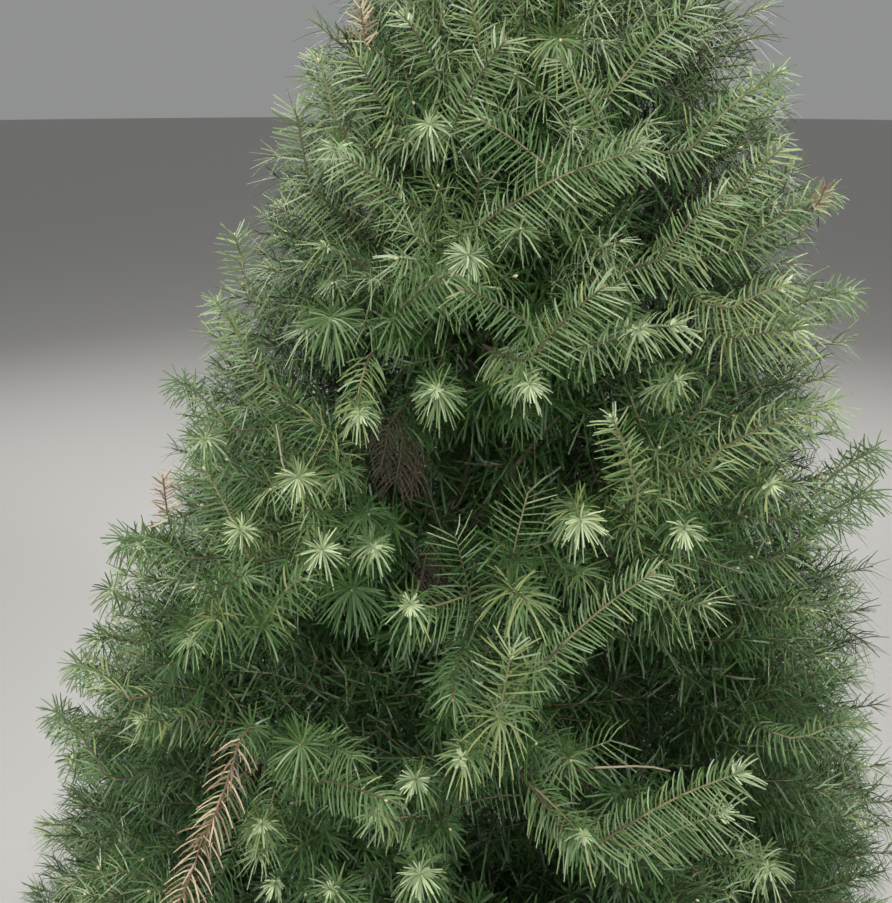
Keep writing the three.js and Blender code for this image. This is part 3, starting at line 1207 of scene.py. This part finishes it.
# %% Shader terms
class Term:
    """One output of a node, with arithmetic that adds Math nodes."""

    def __init__(self, finish, socket):
        self.finish = finish
        self.socket = socket

    def math(self, operation, first, second):
        return self.finish.node("Math", {"operation": operation}, {0: first, 1: second})

    def __add__(self, other):
        return self.math("ADD", self, other)

    def __radd__(self, other):
        return self.math("ADD", other, self)

    def __sub__(self, other):
        return self.math("SUBTRACT", self, other)

    def __rsub__(self, other):
        return self.math("SUBTRACT", other, self)

    def __mul__(self, other):
        return self.math("MULTIPLY", self, other)

    def __rmul__(self, other):
        return self.math("MULTIPLY", other, self)

    def clamped(self):
        return self.finish.node("Clamp", {}, {"Value": self})


class Finish:
    """A material under construction."""

    def __init__(self, name, roughness):
        self.material, self.shader = new_material(name, roughness)
        self.tree = self.material.node_tree

    def node(self, kind, settings, inputs, output=0):
        """Add a node with its settings and inputs, and return one of its outputs."""
        made = self.tree.nodes.new("ShaderNode" + kind)
        for key, value in settings.items():
            setattr(made, key, value)
        for key, value in inputs.items():
            if isinstance(value, Term):
                self.tree.links.new(value.socket, made.inputs[key])
            else:
                made.inputs[key].default_value = value
        return Term(self, made.outputs[output])

    def mix(self, factor, first, second):
        """A colour between two colours."""
        colours = {0: factor, 6: first, 7: second}
        return self.node("Mix", {"data_type": "RGBA"}, colours, 2)

    def feed(self, name, term):
        """Link a term to an input of the shader."""
        self.tree.links.new(term.socket, self.shader.inputs[name])


YOUNG_BARK = (128, 126, 86)


def bark_finish(name, dark, middle, pale, grain, speck_scale, away, young_from):
    """Bark with furrows, blotches and pale specks, and green-brown where it is young."""
    finish = Finish(name, 0.85)
    place = finish.node("TexCoord", {}, {}, "Object")
    times = {"operation": "MULTIPLY"}
    drawn = finish.node("VectorMath", times, {0: place, 1: (1, 1, 0.4)})
    fine = finish.node(
        "TexNoise", {}, {"Vector": drawn, "Scale": grain, "Detail": 5, "Roughness": 0.65},
    )
    broad = finish.node("TexNoise", {}, {"Vector": place, "Scale": grain / 9, "Detail": 2})
    cells = finish.node("TexVoronoi", {}, {"Vector": place, "Scale": speck_scale})
    rise = ((fine - 0.36) * 4).clamped()
    specks = ((0.3 - cells) * 9).clamped() * ((broad - 0.42) * 7).clamped()
    tone = finish.mix(rise, linear(dark), linear(middle))
    tone = finish.mix(((broad - 0.4) * 1.6).clamped() * 0.5, tone, linear(pale))
    measured = finish.node("VectorMath", times, {0: place, 1: away})
    reach = finish.node("VectorMath", {"operation": "LENGTH"}, {0: measured}, "Value")
    young = ((reach - young_from) * 3.5).clamped()
    tone = finish.mix(young * 0.85, tone, linear(YOUNG_BARK))
    finish.feed("Base Color", finish.mix(specks, tone, linear(pale)))
    relief = fine + specks * 0.5
    bump = finish.node("Bump", {}, {"Height": relief, "Strength": 0.7, "Distance": 0.0015})
    finish.feed("Normal", bump)
    return finish.material


trunk_finish = bark_finish(
    "trunk_bark", (44, 36, 29), (98, 84, 66), (148, 140, 122), 160, 210, (0, 0, 1), 1.6,
)
bough_finish = bark_finish(
    "bough_bark", (58, 46, 34), (112, 94, 70), (156, 148, 128), 260, 320, (1, 1, 0), 0.35,
)
print("bark finishes:", trunk_finish.name, bough_finish.name)

# %% [markdown]
# The trunk and the boughs are limbs with real relief. Each starts as a cylinder
# cut into many rings, and a function then puts every point of its skin in place:
# the trunk by the same taper and root flare as the CAD, with a swelling at each
# whorl, furrows and bumps. The boughs run on inside the foliage to their tips.

# %% Limbs with relief
def limb(joined, sides, rings, place):
    """Add a closed limb to a joined shape; place(share, angle) gives its skin."""
    shape = bmesh.new()
    bmesh.ops.create_cone(shape, cap_ends=True, segments=sides, radius1=1, radius2=1, depth=1)
    upright = [e for e in shape.edges if abs(e.verts[0].co.z - e.verts[1].co.z) > 0.5]
    bmesh.ops.subdivide_edges(shape, edges=upright, cuts=rings - 1)
    for vert in shape.verts:
        vert.co = place(vert.co.z + 0.5, math.atan2(vert.co.y, vert.co.x))
    bmesh.ops.triangulate(shape, faces=[f for f in shape.faces if len(f.verts) > 4])
    bmesh.ops.recalc_face_normals(shape, faces=shape.faces)
    part = bpy.data.meshes.new("limb")
    shape.to_mesh(part)
    shape.free()
    joined.from_mesh(part)
    bpy.data.meshes.remove(part)


def limb_piece(name, joined, material, replaced):
    """Turn the joined shape into a smooth piece that replaces CAD nodes."""
    mesh = bpy.data.meshes.new(name)
    joined.to_mesh(mesh)
    joined.free()
    mesh.materials.append(material)
    mesh.polygons.foreach_set("use_smooth", [True] * len(mesh.polygons))
    piece = add_object(name, mesh)
    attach(piece, "root")
    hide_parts(*replaced)
    print(name, sum(len(p.vertices) - 2 for p in mesh.polygons), "triangles")


def trunk_radius(height, angle):
    """The CAD trunk's radius, with its flare and root lobes."""
    plain = 0.003 + 0.042 * max(0, 1 - height / LEADER_TOP) ** 0.9
    flare = 0.017 * (1 + 0.45 * math.cos(5 * angle)) * math.exp(-height / 0.055)
    return plain + flare


def bark_relief(point, size):
    """Height of the bark at a point: upright furrows, and bumps on top of them."""
    drawn = Vector((point.x, point.y, point.z * 0.3)) / size
    furrows = noise.fractal(drawn, 0.9, 2.1, 4)
    bumps = noise.noise(point / (size * 0.45))
    return 0.7 * furrows + 0.3 * bumps


def trunk_skin(share, angle):
    """A point of the trunk's skin."""
    height = LEADER_TOP * share
    radius = trunk_radius(height, angle)
    for tier in TIERS:
        radius *= 1 + 0.10 * math.exp(-((height - tier["height"]) / 0.016) ** 2)
    on_plain = place_around(height, angle, radius)
    depth = 0.05 * radius + 0.0002
    return place_around(height, angle, radius + depth * bark_relief(on_plain, 0.011))


trunk_shape = bmesh.new()
limb(trunk_shape, 64, 340, trunk_skin)
limb_piece("trunk_relief", trunk_shape, trunk_finish, ["trunk"])

BOUGH_RADIUS = 0.0125
bough_shape = bmesh.new()
for run in runs:
    if run.kind != "bough":
        continue
    thick = BOUGH_RADIUS * (1 - 0.13 * (run.tier - 1))

    def bough_skin(share, angle):
        """A point of the bough's skin."""
        centre, heading = run.at(run.length * (1 - share))
        radius = thick * (0.09 + 0.91 * (1 - share) ** 0.8 + 0.35 * math.exp(-14 * share))
        across = side_heading(heading, angle, math.pi / 2)
        on_plain = centre + across * radius
        return on_plain + across * (0.07 * radius + 0.0002) * bark_relief(on_plain, 0.006)

    limb(bough_shape, 12, 96, bough_skin)
bough_names = [name for name in nodes if name.startswith("bough")]
limb_piece("boughs_relief", bough_shape, bough_finish, bough_names)

# %% [markdown]
# A plain pale floor and a broad light from above, as under a cloudy sky, show the
# tree by itself. A weak light in front and two lower ones from the left and right
# open up the near side, and two behind the tree do the same for its back.

# %% Floor and light
floor_mesh = bpy.data.meshes.new("floor")
sheet = bmesh.new()
bmesh.ops.create_circle(sheet, cap_ends=True, segments=96, radius=40)
sheet.to_mesh(floor_mesh)
sheet.free()
floor_mesh.materials.append(plain_finish("pale_floor", (188, 186, 182), 0.9))
floor = add_object("floor", floor_mesh)

world = bpy.data.worlds.new("studio")
world.use_nodes = True
world.node_tree.nodes["Background"].inputs["Color"].default_value = (0.97, 0.98, 0.98, 1)
world.node_tree.nodes["Background"].inputs["Strength"].default_value = 0.29
bpy.context.scene.world = world


def soft_light(name, place, target, size, power, spread=180):
    """A round area light that points at a target."""
    data = bpy.data.lights.new(name, "AREA")
    data.shape = "DISK"
    data.size = size
    data.energy = power
    data.spread = math.radians(spread)
    lamp = add_object(name, data)
    lamp.location = place
    lamp.rotation_euler = (Vector(target) - Vector(place)).to_track_quat("-Z", "Y").to_euler()


soft_light("sky_light", (0.1, -0.6, 4.2), (0, 0, 1.2), 3.6, 63)
soft_light("front_light", (0.2, -3.6, 3.2), (0.1, 0, 1.8), 2.2, 12, spread=42)
soft_light("left_light", (-4.0, -3.0, 2.2), (-0.5, 0, 0.25), 2.0, 11, spread=30)
soft_light("right_light", (4.0, -3.2, 2.2), (0.5, 0, 0.15), 2.0, 9, spread=30)
soft_light("back_light_left", (-2.2, 3.2, 3.0), (0, 0, 1.0), 2.4, 58)
soft_light("back_light_right", (2.4, 3.0, 3.0), (0, 0, 1.0), 2.4, 58)
bpy.context.scene.view_settings.view_transform = "Standard"
